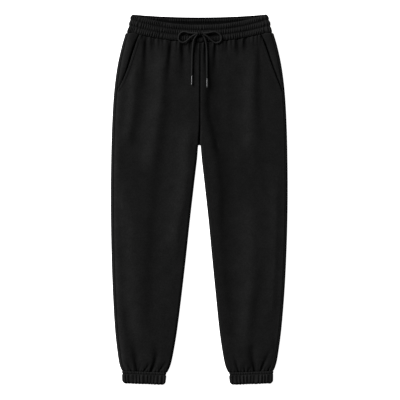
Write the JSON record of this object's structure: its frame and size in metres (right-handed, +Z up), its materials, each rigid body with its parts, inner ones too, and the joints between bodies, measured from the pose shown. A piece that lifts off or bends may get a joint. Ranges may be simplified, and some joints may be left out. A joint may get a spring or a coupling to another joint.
{
  "type": "jogger sweatpants",
  "caption": "Jogger sweatpants laid flat, front up, with a gathered elastic waistband, tied drawstring bow, slash pockets, straight seams and ribbed elastic cuffs.",
  "frame": {"origin": "centre of the garment's bounding box, on the surface that it lies on, measured without the drawstring", "axes": "+Z up off the surface, +Y along the legs to the waist, +X across to the wearer's left leg"},
  "size_m": [0.4768, 0.9995, 0.0275],
  "materials": {
    "fleece": "black brushed fleece, matt",
    "cord": "black round cord, matt",
    "aglet": "brushed metal tip"
  },
  "bodies": {
    "root": {"front_left": "fleece", "front_right": "fleece", "back_left": "fleece", "back_right": "fleece", "pocket_facing_left": "fleece", "pocket_facing_right": "fleece", "waistband": "fleece", "cuff_left": "fleece", "cuff_right": "fleece", "bow_knot": "cord", "drawstring_lead_left": "cord", "drawstring_lead_right": "cord", "drawstring_loop_left": "cord", "drawstring_loop_right": "cord", "drawstring_tail_left": "cord", "drawstring_tail_right": "cord", "aglet_left": "aglet", "aglet_right": "aglet"}
  },
  "joints": []
}
